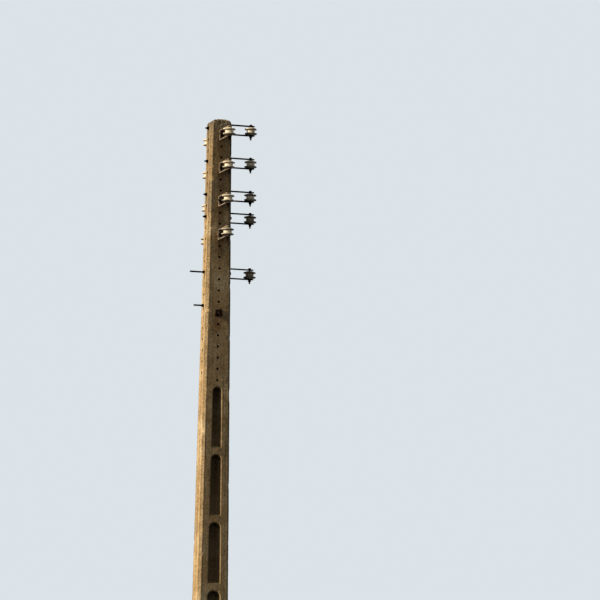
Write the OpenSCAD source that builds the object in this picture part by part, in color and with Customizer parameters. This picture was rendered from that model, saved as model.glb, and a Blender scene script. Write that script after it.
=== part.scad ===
// Precast concrete pole of a low-voltage overhead line, from ground level up.
// The origin is at ground level in the middle of the foot, +Z points up, and
// +X points to the side that carries the five long spool brackets.
// The wide faces look along -Y (front) and +Y (back), the narrow ones along X.

/* [Shaft] */
// Height of the pole above the ground
pole_h = 7610; // [7000:10:9000]
// Width across the wide face at the top
top_w = 195; // [180:1:240]
// Depth across the narrow face at the top
top_d = 152; // [150:1:190]
// Width across the wide face at the ground
foot_w = 346; // [310:1:370]
// Depth across the narrow face at the ground
foot_d = 251; // [230:1:280]
// Leg of the flat that breaks each long corner
corner_cut = 22; // [10:1:28]

/* [Crown] */
// Height lost at the worn right-hand edge of the top
crown_drop = 46; // [30:1:48]
// How far the worn slope reaches in from that edge
crown_run = 80; // [50:1:100]
// Leg of the small bevel round the other top edges
crown_bevel = 12; // [4:1:18]

/* [Bolt holes] */
// Diameter of the cast bolt holes
hole_d = 22; // [20:0.5:26]
// Distance from one hole to the next down a face
hole_pitch = 100; // [96:1:108]
// Distance from the top to the first hole of the wide faces
face_hole_drop = 150; // [144:1:156]
// Distance from the top to the first hole of the narrow faces
side_hole_drop = 80; // [76:1:86]
// Number of holes down each face
hole_count = 23; // [18:1:23]

/* [Recesses] */
// Distance from the top of the pole to the first arch
recess_drop = 2400; // [2390:5:2510]
// Height of a recess, arch included
recess_h = 550; // [450:5:560]
// Distance from one recess to the next
recess_pitch = 600; // [580:5:640]
// Number of recesses on each wide face
recess_count = 6; // [3:1:7]
// Width of the rail left beside a recess
rail_w = 76; // [60:1:80]
// Full depth of a recess
recess_depth = 64; // [40:1:70]
// Width of the bevelled lip round the mouth
lip_w = 14; // [8:1:18]
// Depth of that bevelled lip
lip_depth = 12; // [8:1:20]
// How far a wall leans in from the lip to the floor
wall_lean = 14; // [6:1:18]

/* [Spool insulators] */
// Height of a spool
spool_h = 70; // [66:1:76]
// Diameter of its two rims
rim_d = 112; // [100:1:116]
// Distance between the middles of the rims
rim_gap = 42; // [40:1:46]
// Thickness of a rim at its rounded edge
rim_t = 13; // [10:1:14]
// Diameter of the groove for the wire
groove_d = 74; // [60:1:80]
// Height of the curve from a rim into the groove
groove_curve = 7; // [5:0.5:8]
// Diameter of the flat bosses at the ends
boss_d = 54; // [44:1:62]
// Height of a boss above the slope round it
boss_h = 4; // [2:0.5:5]
// Width of the bevel round a boss
boss_bevel = 3; // [1:0.5:4]
// Diameter of the hole through the spool
spool_bore_d = 20; // [18:0.5:22]

/* [Brackets] */
// Width of the flat bar that each bracket is bent from
strap_w = 40; // [34:1:44]
// Thickness of that bar
strap_t = 8; // [6:0.5:10]
// Clear height between the two arms, a little more than a spool
arm_gap = 78; // [76:0.5:84]
// Distance from the narrow face to the spool's axis on the right-hand brackets
side_reach = 197; // [170:1:230]
// Distance from a wide face to the spool's axis on the front and back brackets
face_reach = 235; // [200:1:260]
// Distance from the spool's axis to the end of an arm
arm_tip = 36; // [30:1:50]
// Inside radius of the two bends
bend_r = 7; // [5:0.5:12]
// Diameter of the holes drilled in the bar
strap_hole_d = 18; // [17.5:0.5:19]
// Hole pitches from one bracket to the next
bracket_step = 3; // [2:1:4]

/* [Bolts] */
// Diameter of every bolt
bolt_d = 16; // [14:0.5:17]
// Distance across the flats of heads and nuts
nut_af = 24; // [22:0.5:27]
// Height of a nut
nut_h = 14; // [12:0.5:16]
// Height of a bolt head
head_h = 11; // [9:0.5:14]
// Diameter of the round washers
washer_d = 32; // [30:0.5:36]
// Thickness of the round washers
washer_t = 3; // [2:0.5:4]
// Length of spool bolt below its nut
spool_bolt_tail = 19; // [10:1:30]
// Length of through bolt past its nut
short_tail = 14; // [6:1:24]
// Length past the nut of the long bolt at the lowest bracket
long_tail = 118; // [60:1:160]
// Length past the nut of the spare anchor bolt under it
spare_tail = 74; // [40:1:120]

/* [Line eyes] */
// Inside diameter of an eye
eye_d = 38; // [30:1:46]
// Thickness of the round bar that an eye is bent from
eye_bar_d = 15; // [12:0.5:17]
// Diameter of the boss behind an eye
eye_boss_d = 28; // [24:1:34]
// Length of that boss
eye_boss_h = 22; // [16:1:30]
// Side of the square plate under an eye
eye_plate_w = 60; // [50:1:70]
// Thickness of that plate
eye_plate_t = 6; // [4:0.5:8]

/* [Hidden] */
$fn = 48;
PARTS_SIDE = 5;
PARTS_FACE = 4;
// How many of the right-hand spools, from the top, are cream; the rest are olive
CREAM_SIDE = 3;
// Hole number, counted from the top, of each bracket and each anchor
right_holes = [0, bracket_step, 2 * bracket_step, 2 * bracket_step + 2, 4 * bracket_step + 1];
face_holes = [for (i = [0:PARTS_FACE - 1]) i * bracket_step];
spare_hole = 16;
eye_hole = 16;
over = 10;
// Half the width and half the depth of the shaft at a height z
function half_w(z) = (foot_w + (top_w - foot_w) * z / pole_h) / 2;
function half_d(z) = (foot_d + (top_d - foot_d) * z / pole_h) / 2;
// Half the distance across two opposite corner flats
function half_diagonal(z) = (half_w(z) + half_d(z) - corner_cut) / sqrt(2);
// Heights of the holes
function face_z(i) = pole_h - face_hole_drop - i * hole_pitch;
function side_z(i) = pole_h - side_hole_drop - i * hole_pitch;
bolt_r = bolt_d / 2;
nut_r = nut_af / sqrt(3);
strap_half = arm_gap / 2 + strap_t;
bend_out = bend_r + strap_t;
// Half the height of the flat back of a bracket
flat_half = strap_half - bend_out;
eye_ring_r = (eye_d + eye_bar_d) / 2;

// An outline drawn in X and Z and carried along Y, turned about the pole
module upright(turn) {
    rotate([0, 0, turn])
    rotate([90, 0, 0])
    linear_extrude(height = 4 * half_w(0), center = true)
    children();
}

// Outline of the wide face: straight tapering sides, worn round at the top right
module wide_outline() {
    shoulder = pole_h - crown_drop;
    bevel = pole_h - crown_bevel;
    worn = [for (a = [75:-15:0])
        [half_w(pole_h) - crown_run * (1 - sin(a)), pole_h - crown_drop * (1 - cos(a))]];
    polygon(concat(
        [[-half_w(0), 0], [half_w(0), 0], [half_w(shoulder), shoulder]],
        worn,
        [[crown_bevel - half_w(pole_h), pole_h], [-half_w(bevel), bevel]]
    ));
}

// Outline of the narrow face
module narrow_outline() {
    bevel = pole_h - crown_bevel;
    polygon([
        [-half_d(0), 0],
        [half_d(0), 0],
        [half_d(bevel), bevel],
        [half_d(pole_h) - crown_bevel, pole_h],
        [crown_bevel - half_d(pole_h), pole_h],
        [-half_d(bevel), bevel]
    ]);
}

// Outline across two opposite corners
module corner_outline() {
    polygon([
        [-half_diagonal(0), 0],
        [half_diagonal(0), 0],
        [half_diagonal(pole_h), pole_h],
        [-half_diagonal(pole_h), pole_h]
    ]);
}

// One recess in the front face: a bevelled mouth, leaning walls and an arched head
module recess(i) {
    top_z = pole_h - recess_drop - i * recess_pitch;
    low_z = top_z - recess_h;
    mid_z = (top_z + low_z) / 2;
    mouth = half_w(mid_z) - rail_w;
    spring_z = top_z - mouth;
    neck = mouth - lip_w;
    floor_r = neck - wall_lean;
    flare = mouth + over * lip_w / lip_depth;
    translate([0, -half_d(mid_z), 0]) {
        // straight part, its sides and its sill leaning alike
        intersection() {
            translate([0, 0, low_z - 2 * over])
            linear_extrude(height = spring_z - low_z + 2 * over)
            polygon([
                [-flare, -over], [flare, -over], [neck, lip_depth], [floor_r, recess_depth],
                [-floor_r, recess_depth], [-neck, lip_depth]
            ]);
            rotate([90, 0, 90])
            linear_extrude(height = 4 * mouth, center = true)
            polygon([
                [-over, low_z - over * lip_w / lip_depth], [lip_depth, low_z + lip_w],
                [recess_depth, low_z + lip_w + wall_lean], [recess_depth, spring_z],
                [-over, spring_z]
            ]);
        }
        // arched head, a cone for the lip and a cone for the wall
        intersection() {
            translate([0, -over, spring_z])
            rotate([-90, 0, 0])
            union() {
                cylinder(r1 = flare, r2 = neck, h = over + lip_depth);
                translate([0, 0, over + lip_depth])
                cylinder(r1 = neck, r2 = floor_r, h = recess_depth - lip_depth);
            }
            translate([-2 * mouth, -2 * over, spring_z])
            cube([4 * mouth, recess_depth + 4 * over, 2 * mouth]);
        }
    }
}

module pole_shaft() {
    color([0.52, 0.44, 0.34])
    difference() {
        intersection() {
            upright(0) wide_outline();
            upright(90) narrow_outline();
            upright(45) corner_outline();
            upright(-45) corner_outline();
        }
        for (i = [0:hole_count - 1]) {
            translate([0, 0, face_z(i)])
            rotate([90, 0, 0])
            cylinder(d = hole_d, h = 4 * half_d(0), center = true);
            translate([0, 0, side_z(i)])
            rotate([0, 90, 0])
            cylinder(d = hole_d, h = 4 * half_w(0), center = true);
        }
        for (i = [0:recess_count - 1]) {
            recess(i);
            rotate([0, 0, 180]) recess(i);
        }
    }
}

// Side view of a bracket: a bar bent into a U that opens along +X
module strap_outline(reach) {
    long = reach + arm_tip;
    difference() {
        union() {
            translate([bend_out, -strap_half]) square([long - bend_out, 2 * strap_half]);
            translate([0, -flat_half]) square([bend_out, 2 * flat_half]);
            for (side = [-1, 1])
                translate([bend_out, side * flat_half]) circle(r = bend_out);
        }
        translate([bend_out, -arm_gap / 2]) square([long, arm_gap]);
        translate([strap_t, -flat_half]) square([long, 2 * flat_half]);
        for (side = [-1, 1])
            translate([bend_out, side * flat_half]) circle(r = bend_r);
    }
}

// Plan view of a bracket, with round ends to its arms
module strap_plan(reach) {
    end = reach + arm_tip - strap_w / 2;
    translate([0, -strap_w / 2]) square([end, strap_w]);
    translate([end, 0]) circle(d = strap_w);
}

// A bracket with its back on the plane X = 0 and its spool axis at X = reach
module bracket(reach) {
    color([0.33, 0.25, 0.19])
    difference() {
        intersection() {
            rotate([90, 0, 0])
            linear_extrude(height = 2 * strap_w, center = true)
            strap_outline(reach);
            linear_extrude(height = 4 * strap_half, center = true)
            strap_plan(reach);
        }
        translate([reach, 0, 0])
        cylinder(d = strap_hole_d, h = 4 * strap_half, center = true);
        rotate([0, 90, 0])
        cylinder(d = strap_hole_d, h = 4 * strap_t, center = true);
    }
}

// A spool insulator on its bracket's spool axis, resting on the lower arm
module spool(reach, glaze) {
    rim_r = rim_d / 2;
    edge_r = rim_t / 2;
    rim_z = rim_gap / 2;
    color(glaze)
    translate([reach, 0, (spool_h - arm_gap) / 2])
    rotate_extrude($fn = 96)
    union() {
        polygon([
            [spool_bore_d / 2, -spool_h / 2],
            [boss_d / 2, -spool_h / 2],
            [boss_d / 2 + boss_bevel, boss_h - spool_h / 2],
            [rim_r - edge_r, -rim_z - edge_r],
            [rim_r - edge_r, edge_r - rim_z],
            [groove_d / 2 + groove_curve / 2, groove_curve / 4 + edge_r - rim_z],
            [groove_d / 2, groove_curve + edge_r - rim_z],
            [groove_d / 2, rim_z - edge_r - groove_curve],
            [groove_d / 2 + groove_curve / 2, rim_z - edge_r - groove_curve / 4],
            [rim_r - edge_r, rim_z - edge_r],
            [rim_r - edge_r, rim_z + edge_r],
            [boss_d / 2 + boss_bevel, spool_h / 2 - boss_h],
            [boss_d / 2, spool_h / 2],
            [spool_bore_d / 2, spool_h / 2]
        ]);
        translate([rim_r - edge_r, rim_z]) circle(r = edge_r);
        translate([rim_r - edge_r, -rim_z]) circle(r = edge_r);
    }
}

// The bolt that holds a spool between the arms: head up, washer and nut below
module spool_bolt(reach) {
    nut_top = -strap_half - washer_t;
    color([0.27, 0.21, 0.17])
    translate([reach, 0, 0]) {
        translate([0, 0, nut_top - nut_h - spool_bolt_tail])
        cylinder(r = bolt_r, h = strap_half - nut_top + nut_h + spool_bolt_tail);
        translate([0, 0, strap_half])
        cylinder(r = nut_r, h = head_h, $fn = 6);
        translate([0, 0, nut_top])
        cylinder(d = washer_d, h = washer_t);
        translate([0, 0, nut_top - nut_h])
        cylinder(r = nut_r, h = nut_h, $fn = 6);
    }
}

// A bolt along X: head and washer at from_x, washer, nut and tail past to_x
module through_bolt(from_x, to_x, tail) {
    color([0.27, 0.21, 0.17])
    rotate([0, 90, 0]) {
        // head and nut run on into the middle of their washers
        translate([0, 0, from_x - washer_t - head_h])
        cylinder(r = nut_r, h = head_h + washer_t / 2, $fn = 6);
        translate([0, 0, from_x - washer_t])
        cylinder(d = washer_d, h = washer_t);
        translate([0, 0, from_x - washer_t / 2])
        cylinder(r = bolt_r, h = to_x - from_x + 1.5 * washer_t + nut_h + tail);
        translate([0, 0, to_x])
        cylinder(d = washer_d, h = washer_t);
        translate([0, 0, to_x + washer_t / 2])
        cylinder(r = nut_r, h = nut_h + washer_t / 2, $fn = 6);
    }
}

// Where the flat back of a bracket meets the leaning face of the pole
function right_seat(z) = half_w(z - flat_half);
function face_seat(z) = half_d(z - flat_half);
// Where a washer meets the leaning narrow face
function washer_seat(z) = half_w(z - washer_d / 2);

// Places a bracket and all that rides in it
module on_right(i) {
    z = side_z(right_holes[i]);
    translate([right_seat(z), 0, z]) children();
}

module on_face(i, turn) {
    z = face_z(face_holes[i]);
    rotate([0, 0, turn])
    translate([face_seat(z), 0, z])
    children();
}

front = -90;
back = 90;
cream = [0.86, 0.80, 0.66];
olive = [0.42, 0.38, 0.24];

module right_bracket(i) { on_right(i) bracket(side_reach); }
module front_bracket(i) { on_face(i, front) bracket(face_reach); }
module back_bracket(i) { on_face(i, back) bracket(face_reach); }
module right_spool(i) { on_right(i) spool(side_reach, i < CREAM_SIDE ? cream : olive); }
module front_spool(i) { on_face(i, front) spool(face_reach, cream); }
module back_spool(i) { on_face(i, back) spool(face_reach, cream); }
module right_spool_bolts() { for (i = [0:PARTS_SIDE - 1]) on_right(i) spool_bolt(side_reach); }
module front_spool_bolts() { for (i = [0:PARTS_FACE - 1]) on_face(i, front) spool_bolt(face_reach); }
module back_spool_bolts() { for (i = [0:PARTS_FACE - 1]) on_face(i, back) spool_bolt(face_reach); }

// The bolt of a right-hand bracket: head inside the U, nut on the far narrow face
module side_bolt(i) {
    z = side_z(right_holes[i]);
    tail = i == PARTS_SIDE - 1 ? long_tail : short_tail;
    translate([0, 0, z])
    rotate([0, 0, 180])
    through_bolt(-right_seat(z) - strap_t, washer_seat(z), tail);
}

// The bolt shared by a front and a back bracket
module face_bolt(i) {
    z = face_z(face_holes[i]);
    translate([0, 0, z])
    rotate([0, 0, back])
    through_bolt(-face_seat(z) - strap_t, face_seat(z) + strap_t, short_tail);
}

// The spare anchor bolt under the lowest bracket
module spare_bolt() {
    z = side_z(spare_hole);
    translate([0, 0, z])
    rotate([0, 0, 180])
    through_bolt(-washer_seat(z), washer_seat(z), spare_tail);
}

// A round eye in the X-Z plane, its boss and plate behind it, on the plane X = 0
module eye() {
    translate([eye_plate_t + eye_boss_h + eye_ring_r, 0, 0])
    rotate([90, 0, 0])
    rotate_extrude($fn = 64)
    translate([eye_ring_r, 0])
    circle(d = eye_bar_d);
    translate([eye_plate_t, 0, 0])
    rotate([0, 90, 0])
    cylinder(d = eye_boss_d, h = eye_boss_h);
    translate([0, -eye_plate_w / 2, -eye_plate_w / 2])
    cube([eye_plate_t, eye_plate_w, eye_plate_w]);
}

eye_z = face_z(eye_hole);
eye_seat = half_d(eye_z - eye_plate_w / 2);

// The front eye with its long shank through the pole
module eye_bolt() {
    color([0.30, 0.26, 0.22])
    translate([0, 0, eye_z])
    rotate([0, 0, front]) {
        translate([eye_seat, 0, 0]) eye();
        translate([-eye_seat - eye_plate_t, 0, 0])
        rotate([0, 90, 0])
        cylinder(r = bolt_r, h = 2 * eye_seat + 2 * eye_plate_t);
    }
}

// The back eye, screwed on the end of that shank
module eye_nut() {
    color([0.30, 0.26, 0.22])
    translate([0, 0, eye_z])
    rotate([0, 0, back])
    translate([eye_seat, 0, 0])
    difference() {
        eye();
        translate([-over, 0, 0])
        rotate([0, 90, 0])
        cylinder(r = bolt_r, h = over + eye_plate_t);
    }
}

pole_shaft();
for (i = [0:PARTS_SIDE - 1]) {
    right_bracket(i);
    right_spool(i);
    side_bolt(i);
}
for (i = [0:PARTS_FACE - 1]) {
    front_bracket(i);
    back_bracket(i);
    front_spool(i);
    back_spool(i);
    face_bolt(i);
}
right_spool_bolts();
front_spool_bolts();
back_spool_bolts();
spare_bolt();
eye_bolt();
eye_nut();
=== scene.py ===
# Looks of a weathered precast concrete line pole: shaft, brackets, spool insulators and bolts
import math
import bpy
import bmesh
from mathutils import Matrix, Vector, noise


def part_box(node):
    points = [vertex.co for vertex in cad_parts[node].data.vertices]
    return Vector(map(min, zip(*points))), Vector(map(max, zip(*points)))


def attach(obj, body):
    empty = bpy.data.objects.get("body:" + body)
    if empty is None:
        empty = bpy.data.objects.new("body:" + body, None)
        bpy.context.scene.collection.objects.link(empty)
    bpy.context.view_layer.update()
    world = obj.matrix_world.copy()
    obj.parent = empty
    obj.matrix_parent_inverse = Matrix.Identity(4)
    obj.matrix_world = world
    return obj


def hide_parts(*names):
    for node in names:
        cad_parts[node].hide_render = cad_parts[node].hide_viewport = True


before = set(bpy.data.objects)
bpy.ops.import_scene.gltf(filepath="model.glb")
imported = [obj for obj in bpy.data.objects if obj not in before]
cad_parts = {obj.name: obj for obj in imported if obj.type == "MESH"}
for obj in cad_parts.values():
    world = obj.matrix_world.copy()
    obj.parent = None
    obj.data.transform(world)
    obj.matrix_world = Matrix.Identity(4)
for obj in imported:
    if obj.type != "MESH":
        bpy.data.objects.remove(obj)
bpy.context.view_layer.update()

mm = 0.001
touching = 0.01 * mm      # places nearer than this count as one
quarterTurn = math.pi / 2
fullTurn = 2 * math.pi
rightCount = 5
faceCount = 4
scene = bpy.context.scene
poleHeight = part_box("pole_shaft")[1].z


def srgb(hexColour):
    parts = [int(hexColour[i:i + 2], 16) / 255 for i in (1, 3, 5)]
    linear = [c / 12.92 if c <= 0.04045 else ((c + 0.055) / 1.055) ** 2.4 for c in parts]
    return (*linear, 1.0)


def clamp(value, low=0.0, high=1.0):
    return min(max(value, low), high)


# Materials: one function adds a node with its properties, socket values, links and ramp colours
def addNode(tree, kind, sockets=None, links=None, stops=(), **properties):
    node = tree.nodes.new("ShaderNode" + kind)
    for name, value in properties.items():
        setattr(node, name, value)
    for name, value in (sockets or {}).items():
        node.inputs[name].default_value = value
    for name, source in (links or {}).items():
        tree.links.new(source, node.inputs[name])
    for i, (position, colour) in enumerate(stops):      # a new colour ramp comes with two stops
        stop = node.color_ramp.elements[i] if i < 2 else node.color_ramp.elements.new(position)
        stop.position, stop.color = position, srgb(colour)
    return node


def newMaterial(name):
    material = bpy.data.materials.new(name)
    material.use_nodes = True
    tree = material.node_tree
    tree.nodes.clear()
    shader = addNode(tree, "BsdfPrincipled")
    addNode(tree, "OutputMaterial", links={"Surface": shader.outputs["BSDF"]})
    return material, tree, shader


concrete = dict(
    # grey, warm, plain and pale sand
    sandTones=((0.30, "#A29379"), (0.44, "#AF946C"), (0.56, "#C0A882"), (0.72, "#CFBD9B")),
    blotchTones=((0.34, "#84866F"), (0.66, "#E8DCCE")), blotchSize=17 * mm, blotchStrength=0.5,
    pebbleTones=((0.35, "#4E3F30"), (0.62, "#F4EAD2")), pebbleSize=15 * mm, pebbleJitter=16 * mm,
    pebbleRim=0.52, pebbleFull=0.30, pebbleRelief=2.6,      # rims and cores as shares of the spacing
    pitSpacing=26 * mm, pitRim=0.16, pitFull=0.08, mottleSize=210 * mm,
    lichen="#4A4632", streakWidth=14 * mm, streakLength=700 * mm, streakStrength=0.45,
    grainSize=5 * mm, grainDark=0.78, grainLight=1.14,
    # the grime tint serves both grime and painted shade, the soot tint paints shade in holes and recesses
    rust="#6B3A1B", grimeAndShade="#2B2519", sootAndShade="#0E0B07",
    reliefStrength=0.8, reliefHeight=1.6 * mm, roughness=0.93, ior=1.45, specular=0.05,
)


# Vibrated concrete: sand and cement skin, matt, with pits, rain streaks and pebbles where worn
def makeConcrete():
    s = concrete
    material, tree, shader = newMaterial("vibratedConcrete")
    place = addNode(tree, "TexCoord").outputs["Object"]
    mottle = addNode(tree, "TexNoise", {"Scale": 1 / s["mottleSize"], "Detail": 5.0, "Roughness": 0.6},
                     {"Vector": place})
    stretch = addNode(tree, "Mapping", {"Scale": (1 / s["streakWidth"], 1 / s["streakWidth"],
                                                  1 / s["streakLength"])}, {"Vector": place})
    streaks = addNode(tree, "TexNoise", {"Scale": 1.0, "Detail": 4.0, "Roughness": 0.6},
                      {"Vector": stretch.outputs["Vector"]})
    grain = addNode(tree, "TexNoise", {"Scale": 1 / s["grainSize"], "Detail": 3.0, "Roughness": 0.7},
                    {"Vector": place})
    blotches = addNode(tree, "TexNoise", {"Scale": 1 / s["blotchSize"], "Detail": 1.5, "Roughness": 0.5},
                       {"Vector": place})
    jitter = addNode(tree, "TexNoise", {"Scale": 1 / s["pebbleSize"], "Detail": 2.0}, {"Vector": place})
    uneven = addNode(tree, "VectorMath", {1: (s["pebbleJitter"],) * 3},
                     {0: jitter.outputs["Color"], 2: place}, operation="MULTIPLY_ADD")
    pebbles = addNode(tree, "TexVoronoi", {"Scale": 1 / s["pebbleSize"]},
                      {"Vector": uneven.outputs["Vector"]})
    pits = addNode(tree, "TexVoronoi", {"Scale": 1 / s["pitSpacing"]}, {"Vector": place})
    wear, rust, grimeAndShade, sootAndShade = [addNode(tree, "Attribute", attribute_name=name).outputs["Fac"]
                               for name in ("wear", "rust", "grimeAndShade", "sootAndShade")]

    # sand colours in broad patches
    patch = addNode(tree, "ValToRGB", links={"Fac": mottle.outputs["Fac"]}, stops=s["sandTones"])

    # rain streaks, darker, down the faces
    streakMask = addNode(tree, "MapRange", {"From Min": 0.50, "From Max": 0.68,
                                            "To Max": s["streakStrength"]}, {"Value": streaks.outputs["Fac"]})
    streaked = addNode(tree, "MixRGB", {"Color2": srgb(s["lichen"])},
                       {"Fac": streakMask.outputs["Result"], "Color1": patch.outputs["Color"]})
    grainMask = addNode(tree, "MapRange", {"From Min": 0.35, "From Max": 0.65, "To Min": s["grainDark"],
                                           "To Max": s["grainLight"]}, {"Value": grain.outputs["Fac"]})
    grained = addNode(tree, "MixRGB", {"Fac": 1.0}, {"Color1": streaked.outputs["Color"],
                      "Color2": grainMask.outputs["Result"]}, blend_type="MULTIPLY")

    # stones just under the skin show through as dark olive and paler reddish blotches
    blotchTint = addNode(tree, "ValToRGB", links={"Fac": blotches.outputs["Fac"]}, stops=s["blotchTones"])
    blotched = addNode(tree, "MixRGB", {"Fac": s["blotchStrength"]}, {"Color1": grained.outputs["Color"],
                       "Color2": blotchTint.outputs["Color"]}, blend_type="OVERLAY")

    # pebbles of two colours where the skin is worn away
    pebbleTint = addNode(tree, "ValToRGB", links={"Fac": pebbles.outputs["Color"]}, stops=s["pebbleTones"])
    pebbleEdge = addNode(tree, "MapRange", {"From Min": s["pebbleRim"], "From Max": s["pebbleFull"]},
                         {"Value": pebbles.outputs["Distance"]})
    pebbleMask = addNode(tree, "Math", links={0: pebbleEdge.outputs["Result"], 1: wear},
                         operation="MULTIPLY")
    worn = addNode(tree, "MixRGB", links={"Fac": pebbleMask.outputs["Value"],
                   "Color1": blotched.outputs["Color"], "Color2": pebbleTint.outputs["Color"]})

    # over these the rust below fittings, the pits, grime with painted shade, and painted shade in holes and
    # recesses
    pitMask = addNode(tree, "MapRange", {"From Min": s["pitRim"], "From Max": s["pitFull"]},
                      {"Value": pits.outputs["Distance"]})
    colour = worn.outputs["Color"]
    for mask, tint in ((rust, s["rust"]), (pitMask.outputs["Result"], s["grimeAndShade"]), (grimeAndShade, s["grimeAndShade"]),
                       (sootAndShade, s["sootAndShade"])):
        layer = addNode(tree, "MixRGB", {"Color2": srgb(tint)}, {"Fac": mask, "Color1": colour})
        colour = layer.outputs["Color"]
    tree.links.new(colour, shader.inputs["Base Color"])
    shader.inputs["Roughness"].default_value = s["roughness"]
    shader.inputs["IOR"].default_value = s["ior"]
    shader.inputs["Specular IOR Level"].default_value = s["specular"]

    # relief: grain less pits, and pebbles that stand out
    relief = addNode(tree, "Math", links={0: grain.outputs["Fac"], 1: pitMask.outputs["Result"]},
                     operation="SUBTRACT")
    relief = addNode(tree, "Math", {1: s["pebbleRelief"]}, {0: pebbleMask.outputs["Value"],
                     2: relief.outputs["Value"]}, operation="MULTIPLY_ADD")
    bump = addNode(tree, "Bump", {"Strength": s["reliefStrength"], "Distance": s["reliefHeight"]},
                   {"Height": relief.outputs["Value"]})
    tree.links.new(bump.outputs["Normal"], shader.inputs["Normal"])
    return material


steel = dict(
    # the soot tint paints shade in the hollows of the brackets
    rustSize=22 * mm, darkEnd=0.35, rustStart=0.65, zincStart=0.62, zincFull=0.70, sootAndShade="#1E120A",
    rustRoughness=0.88, zincRoughness=0.62, pitSize=2.5 * mm, pitStrength=0.6, pitHeight=0.4 * mm,
)


# Hot-dip galvanised steel gone to rust: dull zinc left in patches on rough brown rust, with painted shade
# mixed in from an attribute
def makeSteel(name, zincLeft, zinc, rust, darkRust):
    s = steel
    material, tree, shader = newMaterial(name)
    place = addNode(tree, "TexCoord").outputs["Object"]
    patches = addNode(tree, "TexNoise", {"Scale": 1 / s["rustSize"], "Detail": 6.0, "Roughness": 0.65},
                      {"Vector": place})
    pits = addNode(tree, "TexNoise", {"Scale": 1 / s["pitSize"], "Detail": 2.0}, {"Vector": place})
    sootAndShade = addNode(tree, "Attribute", attribute_name="sootAndShade")
    rusty = addNode(tree, "ValToRGB", links={"Fac": patches.outputs["Fac"]},
                    stops=((s["darkEnd"], darkRust), (s["rustStart"], rust)))
    zincMask = addNode(tree, "MapRange", {"From Min": s["zincStart"] - zincLeft,
                                          "From Max": s["zincFull"] - zincLeft},
                       {"Value": patches.outputs["Fac"]})
    coat = addNode(tree, "MixRGB", {"Color2": srgb(zinc)},
                   {"Fac": zincMask.outputs["Result"], "Color1": rusty.outputs["Color"]})
    # painted shade: the attribute darkens the hollows towards a near-black brown
    shadedCoat = addNode(tree, "MixRGB", {"Color2": srgb(s["sootAndShade"])},
                     {"Fac": sootAndShade.outputs["Fac"], "Color1": coat.outputs["Color"]})
    tree.links.new(shadedCoat.outputs["Color"], shader.inputs["Base Color"])
    rough = addNode(tree, "MapRange", {"To Min": s["rustRoughness"], "To Max": s["zincRoughness"]},
                    {"Value": zincMask.outputs["Result"]})
    tree.links.new(rough.outputs["Result"], shader.inputs["Roughness"])
    shader.inputs["Specular IOR Level"].default_value = 0.0      # rough rust gives no gloss, even at a slant
    bump = addNode(tree, "Bump", {"Strength": s["pitStrength"], "Distance": s["pitHeight"]},
                   {"Height": pits.outputs["Fac"]})
    tree.links.new(bump.outputs["Normal"], shader.inputs["Normal"])
    return material


glaze = dict(
    # the soot tint is the dark end of the dust film, which also paints shade
    dust="#6B5A40", sootAndShade="#241D14", driftSize=30 * mm, speckleSize=3 * mm, speckleLift=0.5,
    cleanRoughness=0.16, dustyRoughness=0.75, ior=1.52, specular=0.4,
)


# Glazed porcelain: fired glassy skin over white body, dulled by dust that gathers in the groove, and darkened
# with painted shade where the dirt attribute carries it
def makeGlaze(name, colour, shade):
    s = glaze
    material, tree, shader = newMaterial(name)
    place = addNode(tree, "TexCoord").outputs["Object"]
    drift = addNode(tree, "TexNoise", {"Scale": 1 / s["driftSize"], "Detail": 4.0}, {"Vector": place})
    speckle = addNode(tree, "TexNoise", {"Scale": 1 / s["speckleSize"], "Detail": 2.0}, {"Vector": place})
    dirtAndShade = addNode(tree, "Attribute", attribute_name="dirtAndShade")
    body = addNode(tree, "MixRGB", {"Color1": srgb(colour), "Color2": srgb(shade)},
                   {"Fac": drift.outputs["Fac"]})
    patchy = addNode(tree, "Math", {1: s["speckleLift"]}, {0: speckle.outputs["Fac"]}, operation="ADD")
    amount = addNode(tree, "Math", links={0: dirtAndShade.outputs["Fac"], 1: patchy.outputs["Value"]},
                     operation="MULTIPLY", use_clamp=True)
    # the film darkens with real dust and with painted shade alike
    film = addNode(tree, "MixRGB", {"Color1": srgb(s["dust"]), "Color2": srgb(s["sootAndShade"])},
                   {"Fac": dirtAndShade.outputs["Fac"]})
    dustAndShadeMix = addNode(tree, "MixRGB", links={"Fac": amount.outputs["Value"], "Color1": body.outputs["Color"],
                    "Color2": film.outputs["Color"]})
    tree.links.new(dustAndShadeMix.outputs["Color"], shader.inputs["Base Color"])
    rough = addNode(tree, "MapRange", {"To Min": s["cleanRoughness"], "To Max": s["dustyRoughness"]},
                    {"Value": amount.outputs["Value"]})
    tree.links.new(rough.outputs["Result"], shader.inputs["Roughness"])
    shader.inputs["IOR"].default_value = s["ior"]
    shader.inputs["Specular IOR Level"].default_value = s["specular"]
    return material


concreteSkin = makeConcrete()
paleBar = makeSteel("galvanisedBar", zincLeft=0.20, zinc="#9C8E78", rust="#5A3A24", darkRust="#2A1A12")
# a darker copy of the same galvanised steel, painted shade for the pole's shadow the right-hand brackets hang
# in
shadedBar = makeSteel("shadeDarkenedGalvanisedBar", zincLeft=0.0, zinc="#3A352F", rust="#1C1410", darkRust="#0C0907")
boltSteel = makeSteel("rustedGalvanisedBolt", zincLeft=0.02, zinc="#3E3932", rust="#261A14",
                      darkRust="#120C09")
creamGlaze = makeGlaze("creamGlazedPorcelain", colour="#F0E4C6", shade="#DCCBA4")
brownGlaze = makeGlaze("oliveGlazedPorcelain", colour="#8C7A48", shade="#5E4C2C")
print("materials made")


def linkPlain(name, bm):
    mesh = bpy.data.meshes.new(name)
    bm.to_mesh(mesh)
    bm.free()
    piece = bpy.data.objects.new(name, mesh)
    scene.collection.objects.link(piece)
    return piece


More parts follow.
